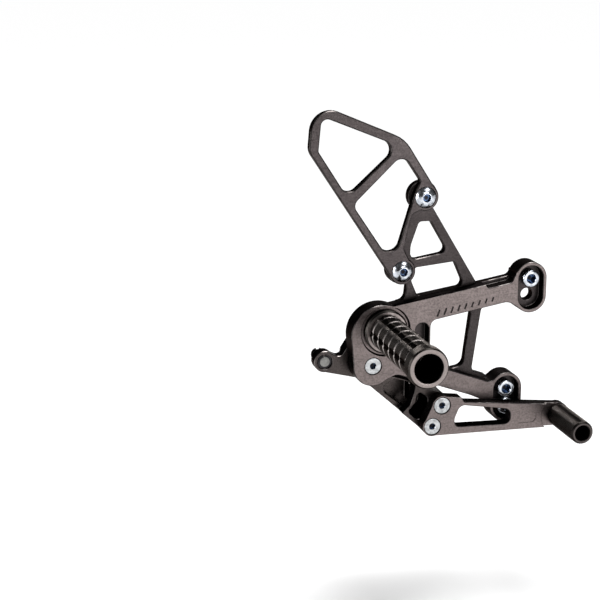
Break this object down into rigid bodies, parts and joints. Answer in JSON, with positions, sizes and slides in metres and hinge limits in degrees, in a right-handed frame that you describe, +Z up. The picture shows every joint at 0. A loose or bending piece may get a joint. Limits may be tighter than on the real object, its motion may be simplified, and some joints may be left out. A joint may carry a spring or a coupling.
{
  "type": "motorbike rear set footrest",
  "caption": "Right-hand motorbike rear set: frame bracket with knurled foot peg, heel guard and brake pedal that turns on a bushed pivot behind the bracket.",
  "frame": {"origin": "on the axis of the upper frame bolt, at the mounting face of the upper ear", "axes": "+X forward on the bike, +Y inboard towards the frame, +Z up"},
  "size_m": [0.1889, 0.1271, 0.229],
  "materials": {
    "billet_bracket": "black anodised, fine milled grain",
    "billet_guard": "black anodised, fine milled grain",
    "billet_lever": "black anodised, fine milled grain",
    "knurled_peg": "black anodised, knurled",
    "knurled_toe_peg": "black anodised, finely knurled",
    "zinc_bolts": "zinc plated, semi bright",
    "bright_screws": "bright stainless",
    "turned_steel": "turned and ground",
    "spring_steel": "phosphated",
    "bronze": "turned, oiled"
  },
  "bodies": {
    "bracket": {"main_bracket": "billet_bracket", "heel_guard": "billet_guard", "guard_bolt_upper": "zinc_bolts", "guard_bolt_lower": "zinc_bolts", "foot_peg": "knurled_peg", "peg_bolt": "zinc_bolts", "frame_bolt_upper": "zinc_bolts", "frame_bolt_middle": "zinc_bolts", "frame_bolt_lower": "zinc_bolts", "pivot_stud": "turned_steel", "pivot_screw": "bright_screws", "thrust_washer_outer": "bronze", "thrust_washer_inner": "bronze"},
    "lever": {"brake_lever": "billet_lever", "lever_bush": "bronze", "clevis_pin": "turned_steel", "clevis_clip_outer": "spring_steel", "clevis_clip_inner": "spring_steel", "pedal_blade": "billet_lever", "blade_screw_upper": "bright_screws", "blade_screw_lower": "bright_screws", "toe_peg": "knurled_toe_peg", "toe_peg_bolt": "zinc_bolts"}
  },
  "joints": [
    {"name": "brake_pivot", "type": "hinge", "parent": "bracket", "child": "lever", "pos_m": [-0.1151, 0.0071, -0.0554], "axis": [0, 1, 0], "range_deg": [0, 12]}
  ]
}
